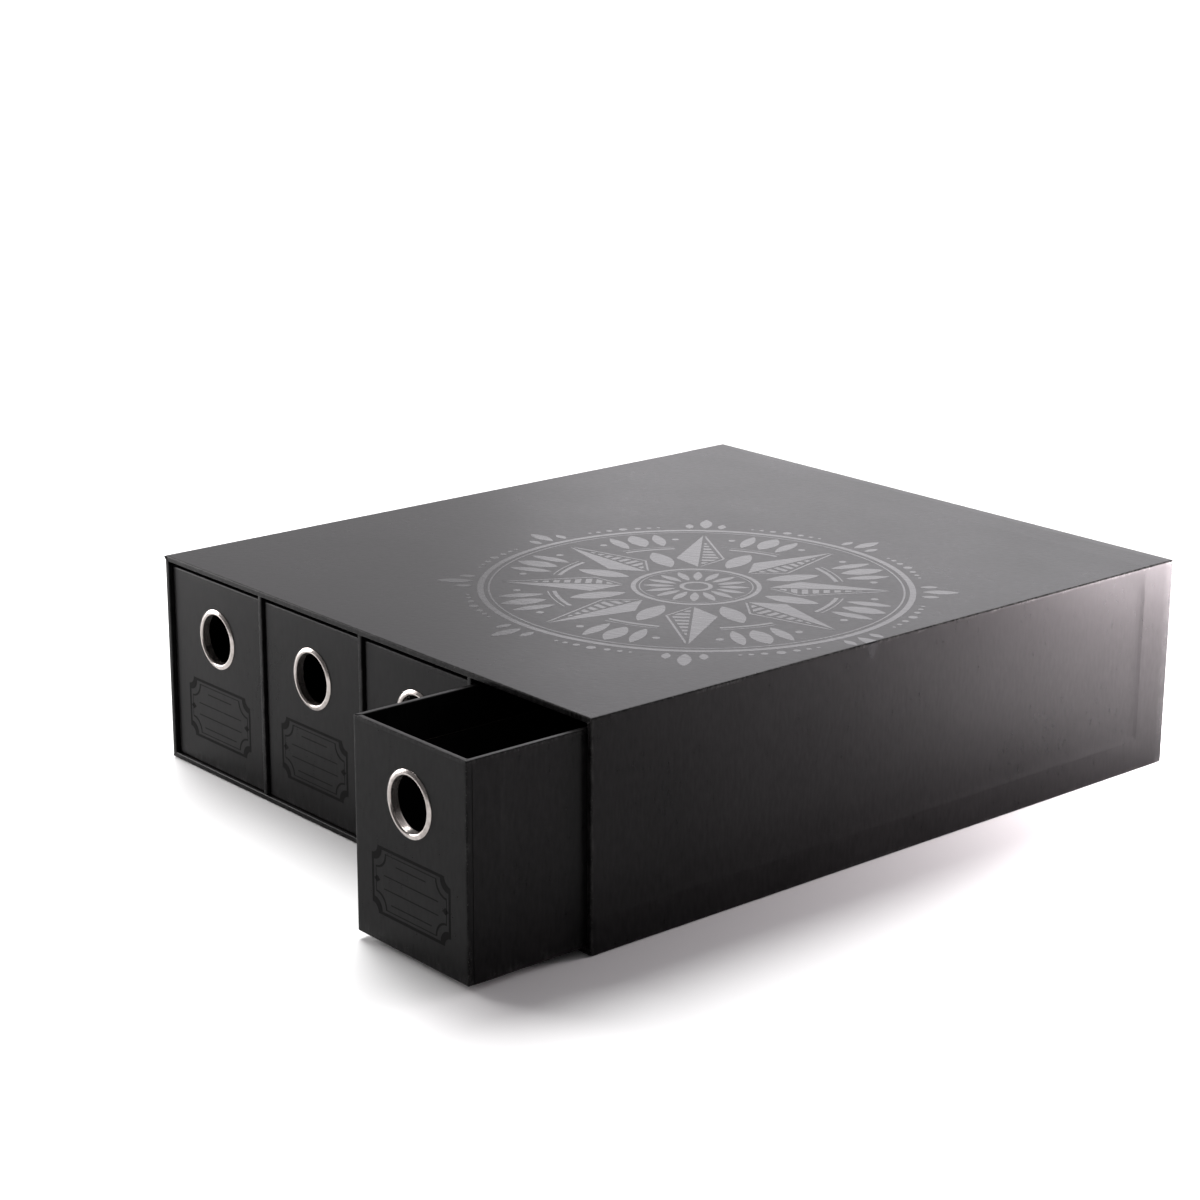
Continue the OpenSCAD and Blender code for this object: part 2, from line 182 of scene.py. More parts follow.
def paperMaterial(name, look):
    material, tree, bsdf = newMaterial(name)

    def noise(place, size, **values):
        return addNode(tree, "TexNoise", {"Vector": place, "Scale": 1 / size, **values}).outputs["Fac"]

    def blend(share, one, other):
        return addNode(tree, "Mix", {"Factor": share, "A": one, "B": other}).outputs[0]

    place = addNode(tree, "TexCoord").outputs["Object"]
    # the mottle is drawn out along z on upright faces, and along the grain on level ones
    drawn = addNode(tree, "Mapping", {"Vector": place, "Scale": (1.0, 1.0, look["uprightStretch"])})
    laid = addNode(tree, "Mapping", {"Vector": place, "Rotation": (0, 0, look["levelTurn"])})
    laid = addNode(tree, "Mapping", {"Vector": laid.outputs["Vector"],
                                     "Scale": (look["levelStretch"], 1.0, 1.0)})
    facing = addNode(tree, "SeparateXYZ", {"Vector": addNode(tree, "NewGeometry").outputs["Normal"]})
    level = addNode(tree, "Math", {0: facing.outputs["Z"]}, operation="ABSOLUTE").outputs[0]
    upright, flat = (noise(way.outputs["Vector"], look["mottleSize"], Detail=look["mottleDetail"],
                           Roughness=look["mottleRoughness"]) for way in (drawn, laid))
    mottle = blend(level, upright, flat)
    fine = noise(place, look["fineSize"], Detail=2.0)
    height = blend(look["fineShare"], mottle, fine)
    tone = blend(look["cloudShare"], height, noise(place, look["cloudSize"], Detail=3.0))
    colour = twoTones(tree, spread(tree, tone, look["toneRange"]), look)
    # the rub shows where the mesh says wear and painted sheen, broken up by the mottle, with chips down to
    # the fibre
    wearAndSheen = addNode(tree, "Attribute", attribute_name="wearAndSheen").outputs["Fac"]
    broken = spread(tree, mottle, look["rubRange"], (0.0, look["rubShare"]))
    chip = spread(tree, fine, look["chipRange"], (0.0, look["specks"]))
    rubAndSheenShare = addNode(tree, "Math", {0: broken, 1: chip}, operation="MAXIMUM")
    rubAndSheenShare = addNode(tree, "Math", {0: rubAndSheenShare.outputs[0], 1: wearAndSheen}, operation="MULTIPLY")
    colour = tint(tree, rubAndSheenShare.outputs[0], colour, (*look["rubAndSheen"], 1))
    tree.links.new(colour, bsdf.inputs["Base Color"])
    tree.links.new(spread(tree, tone, look["toneRange"], look["roughness"]), bsdf.inputs["Roughness"])
    strength = spread(tree, level, (0.0, 1.0), (look["uprightBump"], look["levelBump"]))
    press(tree, bsdf, height, strength, look["grainDepth"])
    bsdf.inputs["Specular IOR Level"].default_value = look["shine"]
    return material


# board and tape: paper fibres in two tones
greyBoard = {
    "dark": (0.19, 0.165, 0.135),
    "light": (0.33, 0.295, 0.25),
    "fibreSize": 0.5 * mm,
    "stretch": (1.0, 0.3, 1.0),
    "turn": (0.2, 0.5, 0.9),
    "toneRange": (0.35, 0.65),
    "bump": 0.5,
    "grainDepth": 0.05 * mm,
    "roughness": 0.9,
    "shine": 0.2,
}
kraftTape = dict(greyBoard, dark=(0.30, 0.19, 0.10), light=(0.48, 0.33, 0.19), fibreSize=0.35 * mm)


def fibreMaterial(name, look):
    material, tree, bsdf = newMaterial(name)
    place = addNode(tree, "TexCoord").outputs["Object"]
    drawn = addNode(tree, "Mapping", {"Vector": place, "Scale": look["stretch"], "Rotation": look["turn"]})
    fibre = addNode(tree, "TexNoise", {"Vector": drawn.outputs["Vector"], "Scale": 1 / look["fibreSize"],
                                       "Detail": 6.0, "Distortion": 1.2}).outputs["Fac"]
    colour = twoTones(tree, spread(tree, fibre, look["toneRange"]), look)
    tree.links.new(colour, bsdf.inputs["Base Color"])
    press(tree, bsdf, fibre, look["bump"], look["grainDepth"])
    bsdf.inputs["Roughness"].default_value = look["roughness"]
    bsdf.inputs["Specular IOR Level"].default_value = look["shine"]
    return material


# nickel: bright metal with a brushed haze that runs round the ring, and a thin film of tarnish
nickel = {
    "clean": (0.42, 0.385, 0.365),
    "dull": (0.32, 0.292, 0.276),
    "tarnishRange": (0.38, 0.62),
    "roughness": (0.16, 0.25),
    "hazeRange": (0.35, 0.65),
    "metal": 0.86,
    "hazeScale": 350.0,
    "brushScale": 1500.0,
    "brushStretch": (1.0, 12.0, 1.0),
    "bump": 0.12,
    "brushDepth": 0.02 * mm,
}


def nickelMaterial(name, look):
    material, tree, bsdf = newMaterial(name)
    place = addNode(tree, "TexCoord").outputs["Object"]
    haze = addNode(tree, "TexNoise", {"Vector": place, "Scale": look["hazeScale"], "Detail": 5.0})
    drawn = addNode(tree, "Mapping", {"Vector": place, "Scale": look["brushStretch"]})
    fine = addNode(tree, "TexNoise", {"Vector": drawn.outputs["Vector"], "Scale": look["brushScale"],
                                      "Detail": 2.0})
    shade = spread(tree, haze.outputs["Fac"], look["tarnishRange"])
    tree.links.new(twoTones(tree, shade, look, ("clean", "dull")), bsdf.inputs["Base Color"])
    sheen = spread(tree, haze.outputs["Fac"], look["hazeRange"], look["roughness"])
    tree.links.new(sheen, bsdf.inputs["Roughness"])
    press(tree, bsdf, fine.outputs["Fac"], look["bump"], look["brushDepth"])
    bsdf.inputs["Metallic"].default_value = look["metal"]
    return material


paper = paperMaterial("matteBlackPaper", coverPaper)
lining = paperMaterial("blackLining", liningPaper)
gloss = paperMaterial("glossPrint", glossPrint)
ink = paperMaterial("labelInk", labelPrint)
worn = paperMaterial("wornPaper", wornPaper)
board = fibreMaterial("greyBoard", greyBoard)
tape = fibreMaterial("kraftTape", kraftTape)
metal = nickelMaterial("nickelPlate", nickel)
print("materials made")


# sheets of paper wrapped round a rectangular tube

# A row of a wrap is (offset, depth, normal, wearAndSheen, part): how far outside the board's face, how far
# behind the tube's mouth, which way the paper faces, how rubbed it is (makeSheet adds the painted fold
# sheen), and the stretch it belongs to.
innerParts = ("inside", "lip")


def atLip(row, depth):
    return row[4] in innerParts or row[1] <= depth


def arcRows(centre, radius, start, end, count, wearAndSheen, part):
    rows = []
    for k in range(count + 1):
        angle = math.radians(start + (end - start) * k / count)
        normal = (math.cos(angle), math.sin(angle))
        rows.append((centre[0] + radius * normal[0], centre[1] + radius * normal[1], normal, wearAndSheen, part))
    return rows


# how rubbed the paper is, from 0 to 1, and how far the rub beside a crisp edge reaches
rubs = {"lip": 0.8, "boardEdge": 0.5, "fold": 0.8, "crisp": 1.0, "beside": 0.7, "reach": 1.5 * mm}

# the mesh round a punched hole: its step, and from how far out the rim is drawn in to the circle
punch = {"step": 1.2 * mm, "reach": 1.4 * mm}


def zoned(stops, zone):
    if not zone:
        return stops
    return sorted({v for v in stops if not zone[0] < v < zone[1]} | set(samples(*zone, punch["step"])))


# rows from the end of the turn-in, over the free edge, and along the outside to the far fold
def wrapRows(wall, turnIn, outside, flange, marks, holeZone=None):
    lip, skin, depth = wall["lip"], wall["paper"], wall["depth"]
    inner = -wall["board"] - skin
    insideStep = wall["step"] / 4
    rows = [(inner, d, (-1, 0), 0.0, "inside") for d in samples(turnIn, lip, insideStep)]
    rows += arcRows((inner + lip, lip), lip, 180, 270, 5, rubs["lip"], "lip")[1:]
    rows += [(inner + lip + (skin - inner - 2 * lip) * k / 3, 0, (0, -1), rubs["boardEdge"], "lip")
             for k in (1, 2)]
    rows += arcRows((skin - lip, lip), lip, 270, 360, 7, rubs["crisp"], "lip")
    stops = zoned(samples(lip, outside, wall["step"], marks), holeZone)
    rows += [(skin, d, (1, 0), rubs["beside"] * smooth(1 - (d - lip) / rubs["reach"]), "outside")
             for d in stops[1:]]
    edge = wall["edgeFold"]
    bend = edge + skin
    if flange:
        rows += arcRows((-edge, depth - bend), bend, 0, 90, 5, rubs["crisp"], "fold")
        rows += [(o, depth, (0, 1), rubs["beside"] * smooth(1 + (o + edge) / rubs["reach"]), "under")
                 for o in samples(-edge, -flange, wall["step"] / 2)[1:]]
    return rows


cornerSigns = ((1, 1), (-1, 1), (-1, -1), (1, -1))


# a station is ("side", index, distance along it) or ("corner", index, angle), counted round from +a;
# side 3 is the case's underside and a drawer's front
def sectionPoint(wall, station, offset):
    kind, index, value = station
    pull = max(wall["fold"], -offset)
    if kind == "corner":
        grow = max(wall["fold"] + offset, 0)
        angle = math.radians(value)
        sign = cornerSigns[index]
        return (sign[0] * (wall["a"] - pull) + grow * math.cos(angle),
                sign[1] * (wall["b"] - pull) + grow * math.sin(angle))
    along, out = (wall["b"], wall["a"]) if index % 2 == 0 else (wall["a"], wall["b"])
    u = min(max(value, pull - along), along - pull)
    out += offset
    return ((out, u), (-u, out), (-out, -u), (u, -out))[index]


def sideStations(wall, index, marks=(), step=None, holeZone=None):
    along = (wall["b"] if index % 2 == 0 else wall["a"]) - wall["fold"]
    stops = zoned(samples(-along, along, step or wall["step"], marks), holeZone)
    # the last stretch before a corner holds the mitre of the turn-in
    for side in (-1, 1):
        stops += [side * (along - k * wall["board"] / 2) for k in (1, 2)]
    return [("side", index, u) for u in sorted(set(stops))]


def cornerStations(index, start=0, end=90, count=6):
    return [("corner", index, 90 * index + start + (end - start) * k / count) for k in range(count + 1)]


# how far a station lies from side 3, along the sides that meet it
def fromSide3(wall, station):
    kind, index, value = station
    if kind == "side" and index in (0, 2):
        return wall["b"] + (value if index == 0 else -value)
    return 0.0 if index in (2, 3) else wall["b"] * 2


# how far a station is turned away from side 3, in degrees
def turnFrom3(station):
    kind, index, value = station
    return abs((value if kind == "corner" else 90 * index) - 270)


def makeSheet(name, wall, stations, rows, place, keep, lift, hole=None):
    mesh = bmesh.new()
    wearAndSheenLayer = mesh.verts.layers.float.new("wearAndSheen")
    grid = []
    for station in stations:
        column = []
        for offset, depth, normal, wearAndSheen, part in rows:
            rise = lift(station, depth, part)
            a, b = sectionPoint(wall, station, offset + rise * normal[0])
            vert = mesh.verts.new(place(a, b, depth + rise * normal[1]))
            # along the upper folds the rub is wear plus a painted sheen, which grows towards the far end
            rubAndSheen = rubs["fold"]
            if station[1] < 2:
                rubAndSheen += wall["foldWearAndSheen"] * max(depth, 0) / wall["depth"]
            vert[wearAndSheenLayer] = max(wearAndSheen, rubAndSheen) if station[0] == "corner" else wearAndSheen
            column.append(vert)
        grid.append(column)
    outward = None
    for i in range(len(stations) - 1):
        for j in range(len(rows) - 1):
            if not keep(stations[i:i + 2], rows[j + 1]):
                continue
            face = mesh.faces.new((grid[i][j], grid[i + 1][j], grid[i + 1][j + 1], grid[i][j + 1]))
            face.smooth = True
            plain = (rows[j][4] == rows[j + 1][4] == "outside"
                     and stations[i][0] == stations[i + 1][0] == "side")
            if outward is None and plain and face.calc_area() > 0:
                a, b = sectionPoint(wall, stations[i], rows[j][0])
                c, d = sectionPoint(wall, stations[i], rows[j][0] + mm)
                outward = (face, Vector(place(c, d, 0)) - Vector(place(a, b, 0)))
    outward[0].normal_update()
    inward = outward[0].normal.dot(outward[1]) < 0
    if hole:
        punchHole(mesh, *hole)
    bmesh.ops.delete(mesh, geom=[v for v in mesh.verts if not v.link_faces], context="VERTS")
    bmesh.ops.remove_doubles(mesh, verts=mesh.verts[:], dist=weldGap)
    if inward:
        bmesh.ops.reverse_faces(mesh, faces=mesh.faces[:])
    return finishSheet(name, mesh)


# a sheet's body is a little thinner than the paper, so that it stays clear of the board
sheetShare = 0.9


# gives a sheet its thickness, on the side away from where it faces, with crisp cut edges
def finishSheet(name, mesh):
    mesh.edges.index_update()
    cutEdges = [edge.index for edge in mesh.edges if edge.is_boundary]
    data = meshData(name, mesh)
    data.set_sharp_from_angle(angle=sharpAngle)
    for index in cutEdges:
        data.edges[index].use_edge_sharp = True
    sheet = newObject(name, data, paper)
    body = sheet.modifiers.new("thickness", "SOLIDIFY")
    body.thickness = sheetShare * skin
    body.offset = -1
    return sheet


# takes out what lies within the radius round an upright plane's point, and draws the rim to a circle
def punchHole(mesh, centre, radius, lo, hi):
    def gap(vert):
        return math.hypot(vert.co.x - centre.x, vert.co.z - centre.z)

    near = [v for v in mesh.verts if lo < v.co.y < hi]
    gone = {f for v in near if gap(v) < radius for f in v.link_faces
            if max(gap(w) for w in f.verts) < radius + punch["step"]}
    rim = {v for f in gone for v in f.verts}
    bmesh.ops.delete(mesh, geom=list(gone), context="FACES_ONLY")
    for vert in rim:
        if vert.link_faces and gap(vert) < radius + punch["reach"]:
            reach = radius / max(gap(vert), mm)
            vert.co.x = centre.x + (vert.co.x - centre.x) * reach
            vert.co.z = centre.z + (vert.co.z - centre.z) * reach


# case

topLo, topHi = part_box("case_top_board")
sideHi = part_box("case_right_board")[1]
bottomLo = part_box("case_bottom_board")[0]
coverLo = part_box("cover_paper")[0]
skin = topLo.y - coverLo.y
lipRadius = 0.4 * mm
caseMid = (topHi.z + bottomLo.z) / 2
caseWall = {
    "a": sideHi.x,
    "b": topHi.z - caseMid,
    "board": topHi.z - topLo.z,
    "paper": skin,
    "lip": lipRadius + skin,
    "fold": 0.5 * mm,
    "edgeFold": 0.2 * mm,
    # how strongly the painted sheen along the upper folds grows towards the far end
    "foldWearAndSheen": 7.0,
    "depth": topHi.y - topLo.y + 2 * skin,
    "step": 6 * mm,
}
caseWraps = {
    "turnIn": 15 * mm,
    "baseTape": 17 * mm,
    "backTape": 22 * mm,
    "tapeStart": 4 * mm,
    "flapStep": 3 * mm,
    "margin": 2 * mm,
    "blend": 4.6 * mm,
    "topBlend": 24 * mm,
    "topFade": 12 * mm,
    "step": 2 * mm,
}


def placeCase(a, b, depth):
    return (a, coverLo.y + depth, caseMid + b)


def coverLift(station, depth, part):
    if part in innerParts:
        return 0.0
    w = caseWraps
    up = fromSide3(caseWall, station)
    low = bridge((w["baseTape"] + w["blend"] - up) / w["blend"])
    low *= smooth((depth - w["tapeStart"] + w["blend"]) / w["blend"])
    # the ridge over the back tape softens towards the top
    near = smooth((w["topFade"] - (caseWall["b"] * 2 - up)) / w["topFade"])
    soft = w["blend"] + (w["topBlend"] - w["blend"]) * near
    far = bridge((depth - (caseWall["depth"] - skin - w["backTape"]) + soft) / soft)
    return skin * max(low, far)


def coverKeep(pair, row):
    return not atLip(row, caseWraps["tapeStart"]) or all(turnFrom3(s) >= 45 for s in pair)


def makeCover():
    w = caseWraps
    low, flap = caseWall["a"] - caseWall["fold"], w["baseTape"] - w["flapStep"]
    tapeTop = w["baseTape"] - caseWall["b"]
    stations = [("side", 3, u) for u in samples(caseWall["a"] - flap, low, w["step"])]
    for index, marks in ((0, (tapeTop,)), (1, ()), (2, (-tapeTop,))):
        stations += cornerStations((index - 1) % 4) + sideStations(caseWall, index, marks)
    stations += cornerStations(2)
    stations += [("side", 3, u) for u in samples(-low, flap - caseWall["a"], w["step"])]
    backStart = caseWall["depth"] - skin - w["backTape"]
    rows = wrapRows(caseWall, w["turnIn"], caseWall["depth"] - caseWall["edgeFold"] - skin,
                    w["backTape"] - w["flapStep"], (w["tapeStart"], backStart))
    cover = makeSheet("coverSheet", caseWall, stations, rows, placeCase, coverKeep, coverLift)
    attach(cover, "case")
    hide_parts("cover_paper")


# the sheet on the base drops from the flaps to the tape, and from the tape to the board
def baseLift(station, depth, part):
    if part in innerParts:
        return 0.0
    w = caseWraps
    edge = caseWall["a"] - abs(station[2]) if station[0] == "side" else 0.0
    edge = min(edge, caseWall["depth"] - skin - depth)
    tapeLift = smooth((w["baseTape"] + w["blend"] - edge) / w["blend"])
    flapLift = smooth((w["baseTape"] - w["flapStep"] + w["blend"] - edge) / w["blend"])
    start = smooth((depth - w["tapeStart"] + w["blend"]) / w["blend"])
    return skin * (tapeLift + flapLift) * start


def baseKeep(pair, row):
    reach = caseWall["a"] - caseWraps["margin"] + tiny
    return atLip(row, caseWraps["tapeStart"]) or all(s[0] == "side" and abs(s[2]) <= reach for s in pair)


def makeBase():
    w = caseWraps
    inner = caseWall["a"] - w["margin"]
    marks = [side * (caseWall["a"] - w["baseTape"] + step) for side in (-1, 1)
             for step in (0, w["flapStep"])]
    stations = cornerStations(2, 45, 90, 3)
    stations += [("side", 3, u) for u in samples(caseWall["fold"] - caseWall["a"], -inner, mm)]
    stations += [("side", 3, u) for u in samples(-inner, inner, caseWall["step"], marks)[1:]]
    stations += [("side", 3, u) for u in samples(inner, caseWall["a"] - caseWall["fold"], mm)[1:]]
    stations += cornerStations(3, 0, 45, 3)
    end = caseWall["depth"] - skin - w["margin"]
    rows = wrapRows(caseWall, w["turnIn"], end, 0, (w["tapeStart"], end - w["backTape"] + w["margin"]))
    base = makeSheet("baseSheet", caseWall, stations, rows, placeCase, baseKeep, baseLift)
    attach(base, "case")
    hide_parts("base_paper")


# the sheet on the back, with its flap under the base
backFold = {"bend": 0.8 * mm, "turns": 6, "flapEnd": 0.4 * mm, "wallStart": 0.9 * mm, "flapMesh": 4 * mm}


def makeBack():
    w = caseWraps
    halfX = caseWall["a"] - w["margin"]
    backY = sideHi.y
    flapMarks = [w["backTape"] + w["blend"] / 2, w["backTape"] - w["flapStep"] + w["blend"] / 2]
    marks = [side * (caseWall["a"] - d) for side in (-1, 1) for d in flapMarks]
    height = topHi.z - bottomLo.z
    bend, turns = backFold["bend"], backFold["turns"]
    track = [("flap", d) for d in samples(w["backTape"] - w["flapStep"], backFold["flapEnd"],
                                          backFold["flapMesh"])]
    track += [("arc", math.pi / 2 * k / turns) for k in range(turns + 1)]
    track += [("up", h) for h in samples(backFold["wallStart"], height - w["margin"], caseWall["step"],
                                         flapMarks + [height - d for d in flapMarks])]
    mesh = bmesh.new()
    mesh.verts.layers.float.new("wearAndSheen")
    grid = []
    for x in samples(-halfX, halfX, caseWall["step"], marks):
        column = []
        for kind, value in track:
            if kind == "flap":
                point = (x, backY - value, bottomLo.z - 2 * skin)
            elif kind == "arc":
                point = (x, backY + 3 * skin - bend + bend * math.sin(value),
                         bottomLo.z - 2 * skin + bend - bend * math.cos(value))
            else:
                edge = min(caseWall["a"] - abs(x), value, height - value)
                rise = sum(smooth((mark - edge) / w["blend"]) for mark in flapMarks)
                point = (x, backY + skin * (1 + rise), bottomLo.z + value)
            column.append(mesh.verts.new(point))
        grid.append(column)
    fillGrid(mesh, grid)
    bmesh.ops.remove_doubles(mesh, verts=mesh.verts[:], dist=weldGap)
    bmesh.ops.recalc_face_normals(mesh, faces=mesh.faces[:])
    far = max(mesh.faces, key=lambda f: f.calc_center_median().y)
    if far.normal.y < 0:
        bmesh.ops.reverse_faces(mesh, faces=mesh.faces[:])
    back = finishSheet("backSheet", mesh)
    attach(back, "case")
    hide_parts("back_paper")


# dividers: one sheet folded round the front edge of each
divider = {"nose": lipRadius + skin, "rise": 4 * mm, "step": 12 * mm}


def makeDivider(number):
    node = f"divider_{number}_paper"
    lo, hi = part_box(node)
    halfT, midX, nose = (hi.x - lo.x) / 2, (hi.x + lo.x) / 2, divider["nose"]
    line = [(-halfT, y, 0.0) for y in samples(hi.y, lo.y + nose, divider["step"])]
    line += [(nose - halfT + nose * math.cos(t), lo.y + nose + nose * math.sin(t), 1.0)
             for t in (math.radians(180 + 15 * k) for k in range(1, 7))]
    line += [(-x, y, wearAndSheen) for x, y, wearAndSheen in reversed(line)]
    mesh = bmesh.new()
    wearAndSheenLayer = mesh.verts.layers.float.new("wearAndSheen")
    grid = []
    for x, y, wearAndSheen in line:
        column = [mesh.verts.new((midX + x, y, z)) for z in samples(lo.z, hi.z, divider["rise"])]
        for vert in column:
            vert[wearAndSheenLayer] = wearAndSheen
        grid.append(column)
    fillGrid(mesh, grid[::-1])
    front = min(mesh.faces, key=lambda f: f.calc_center_median().y)
    front.normal_update()
    if front.normal.y > 0:
        bmesh.ops.reverse_faces(mesh, faces=mesh.faces[:])
    sheet = finishSheet(f"divider{number}Sheet", mesh)
    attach(sheet, "case")
    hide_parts(node)


makeCover()
makeBase()
makeBack()
for number in range(1, drawerCount):
    makeDivider(number)
print("case sheets made")


# drawers

drawerWraps = {
    "turnIn": 20 * mm,
    "frontFlap": 18 * mm,
    "sideStart": 3 * mm,
    "blend": 5.0 * mm,
    "holeRadius": 14.5 * mm,
    "holeZone": 17.5 * mm,
    "holeDepth": 4 * mm,
    "score": 1.9 * mm,
    "scoreWidth": 0.45 * mm,
    "scoreDepth": 0.07 * mm,
    "rim": 2 * lipRadius + skin,
    "rimMark": 1.6 * mm,
    "underside": 2 * mm,
    "step": 4 * mm,
    "flapMesh": 2 * mm,
    "weld": 0.004 * mm,
}


def drawerFrame(number):
    name = f"drawer_{number}"
    frontLo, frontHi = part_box(name + "_front_board")
    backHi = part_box(name + "_back_board")[1]
    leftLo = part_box(name + "_left_board")[0]
    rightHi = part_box(name + "_right_board")[1]
    ringLo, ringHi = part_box(name + "_finger_ring")
    return {
        "name": name,
        "midX": (leftLo.x + rightHi.x) / 2,
        "midY": (frontLo.y + backHi.y) / 2,
        "top": frontHi.z + skin,
        "bottom": leftLo.z - skin,
        "front": frontLo.y - skin,
        "ring": Vector(((ringLo.x + ringHi.x) / 2, frontLo.y - skin, (ringLo.z + ringHi.z) / 2)),
        "a": (rightHi.x - leftLo.x) / 2,
        "b": (backHi.y - frontLo.y) / 2,
        "board": frontHi.y - frontLo.y,
        "paper": skin,
        "lip": lipRadius + skin,
        "fold": 0.5 * mm,
        "edgeFold": 0.2 * mm,
        "foldWearAndSheen": 0.0,
        "depth": frontHi.z + skin - leftLo.z + skin,
        "step": 6 * mm,
    }


def placeIn(drawer):
    return lambda a, b, depth: (drawer["midX"] + a, drawer["midY"] + b, drawer["top"] - depth)


def makeFrontSheet(drawer):
    w = drawerWraps
    ringDepth = drawer["top"] - drawer["ring"].z
    low = drawer["b"] - drawer["fold"]
    flap = samples(drawer["b"] - w["frontFlap"], low, w["flapMesh"])
    stations = [("side", 2, u) for u in flap] + cornerStations(2)
    stations += sideStations(drawer, 3, step=w["step"], holeZone=(-w["holeZone"], w["holeZone"]))
    stations += cornerStations(3) + [("side", 0, -u) for u in reversed(flap)]
    zone = (ringDepth - w["holeZone"], ringDepth + w["holeZone"])
    rows = wrapRows(drawer, w["turnIn"], drawer["depth"] - drawer["edgeFold"] - skin, w["sideStart"],
                    (w["score"],), zone)

    def lift(station, depth, part):
        near = smooth(1 - abs(depth - w["score"]) / w["scoreWidth"])
        return -w["scoreDepth"] * near if part == "outside" else 0.0

    def keep(pair, row):
        if row[4] == "under" and any(kind == "side" and index != 3 for kind, index, value in pair):
            return False
        return not atLip(row, w["rim"]) or all(turnFrom3(s) <= 45 for s in pair)

    hole = (drawer["ring"], w["holeRadius"], drawer["front"] - mm, drawer["front"] + w["holeDepth"])
    sheet = makeSheet(drawer["name"] + "_frontSheet", drawer, stations, rows, placeIn(drawer), keep,
                      lift, hole)
    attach(sheet, drawer["name"])
    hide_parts(drawer["name"] + "_front_paper")


def makeSideSheet(drawer):
    w = drawerWraps
    low = drawer["b"] - drawer["fold"]
    start = drawer["b"] - w["sideStart"]
    right = samples(-low, -start, mm)[:-1]
    right += samples(-start, low, drawer["step"], (w["frontFlap"] - drawer["b"],))
    stations = cornerStations(3, 45, 90, 3) + [("side", 0, u) for u in right]
    stations += cornerStations(0) + sideStations(drawer, 1, step=w["step"]) + cornerStations(1)
    stations += [("side", 2, -u) for u in reversed(right)] + cornerStations(2, 0, 45, 3)
    rows = wrapRows(drawer, w["turnIn"], drawer["depth"] - drawer["edgeFold"] - skin, w["underside"],
                    (w["rimMark"],))

    def keep(pair, row):
        return atLip(row, w["rim"]) or all(fromSide3(drawer, s) >= w["sideStart"] - tiny for s in pair)

    def lift(station, depth, part):
        if part in innerParts:
            return 0.0
        back = fromSide3(drawer, station) - w["frontFlap"]
        start = smooth((depth - drawer["lip"]) / w["blend"])
        return skin * bridge((w["blend"] - back) / w["blend"]) * start

    sheet = makeSheet(drawer["name"] + "_sideSheet", drawer, stations, rows, placeIn(drawer), keep, lift)
    closeUnderside(drawer, sheet, right)
    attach(sheet, drawer["name"])
    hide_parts(drawer["name"] + "_side_paper")


# the flat middle of the same sheet, under the drawer, welded to its folds
def closeUnderside(drawer, sheet, sideStops):
    w = drawerWraps
    mesh = bmesh.new()
    mesh.from_mesh(sheet.data)
    halfX, endY = drawer["a"] - w["underside"], drawer["b"] - w["underside"]
    ys = [v for v in sideStops if w["sideStart"] - drawer["b"] - tiny <= v < endY] + [endY]
    xs = sorted({-min(max(s[2], -halfX), halfX) for s in sideStations(drawer, 1, step=w["step"])})
    fillGrid(mesh, [[mesh.verts.new((drawer["midX"] + x, drawer["midY"] + y, drawer["bottom"])) for y in ys]
                    for x in xs])
    bmesh.ops.remove_doubles(mesh, verts=mesh.verts[:], dist=w["weld"])
    mesh.to_mesh(sheet.data)
    mesh.free()


# pleats: the little raised folds of paper where turn-ins meet at a corner
pleat = {"width": 0.36 * mm, "height": 0.30 * mm, "bow": 0.55 * mm, "count": 12, "crest": 0.3,
         "sink": 0.05 * mm, "inset": 0.1 * mm, "ends": 0.03}


# each fold runs from one point to another over a face; out is the way the face looks, ear lifts its start
def addPleat(mesh, wearAndSheenLayer, start, end, out, bow, ear=0.0):
    start, end, out = Vector(start), Vector(end), Vector(out)
    across = out.cross((end - start).normalized())
    sections = []
    for k in range(pleat["count"] + 1):
        t = k / pleat["count"]
        fade = math.sin(math.pi * min(max(t, pleat["ends"]), 1 - pleat["ends"])) ** 0.5
        base = start.lerp(end, t) + across * bow * pleat["bow"] * math.sin(math.pi * t)
        rise = out * (pleat["height"] * fade + ear * (1 - t) ** 3)
        half = across * pleat["width"] * fade
        sink, crest = out * pleat["sink"], half * pleat["crest"]
        sections.append([mesh.verts.new(co) for co in (base - half - sink, base - crest + rise,
                                                       base + crest + rise, base + half - sink)])
        for vert in sections[-1][1:3]:
            vert[wearAndSheenLayer] = 1.0
    for here, there in zip(sections, sections[1:]):
        joinLoops(mesh, here, there)
    mesh.faces.new(sections[0][::-1])
    mesh.faces.new(sections[-1])


def finishPleats(name, mesh, body):
    bmesh.ops.recalc_face_normals(mesh, faces=mesh.faces[:])
    piece = newObject(name, meshData(name, mesh), worn)
    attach(piece, body)


# the outer and inner end of each corner's pleat, across a rim as wide as the board
def pleatEnds(wall, midU, midV):
    for su, sv in cornerSigns:
        yield [(midU + su * (wall["a"] - inset), midV + sv * (wall["b"] - inset))
               for inset in (pleat["inset"], wall["board"] + skin)]


def makeCasePleats():
    mesh = bmesh.new()
    wearAndSheenLayer = mesh.verts.layers.float.new("wearAndSheen")
    bows, ears = (1.0, -1.0, 1.0, -1.2), (0.2 * mm, 0.8 * mm, 0.1 * mm, 0.5 * mm)
    for ends, bow, ear in zip(pleatEnds(caseWall, 0, caseMid), bows, ears):
        outer, inner = ((x, coverLo.y, z) for x, z in ends)
        addPleat(mesh, wearAndSheenLayer, outer, inner, (0, -1, 0), bow, ear)
    finishPleats("mouthPleats", mesh, "case")


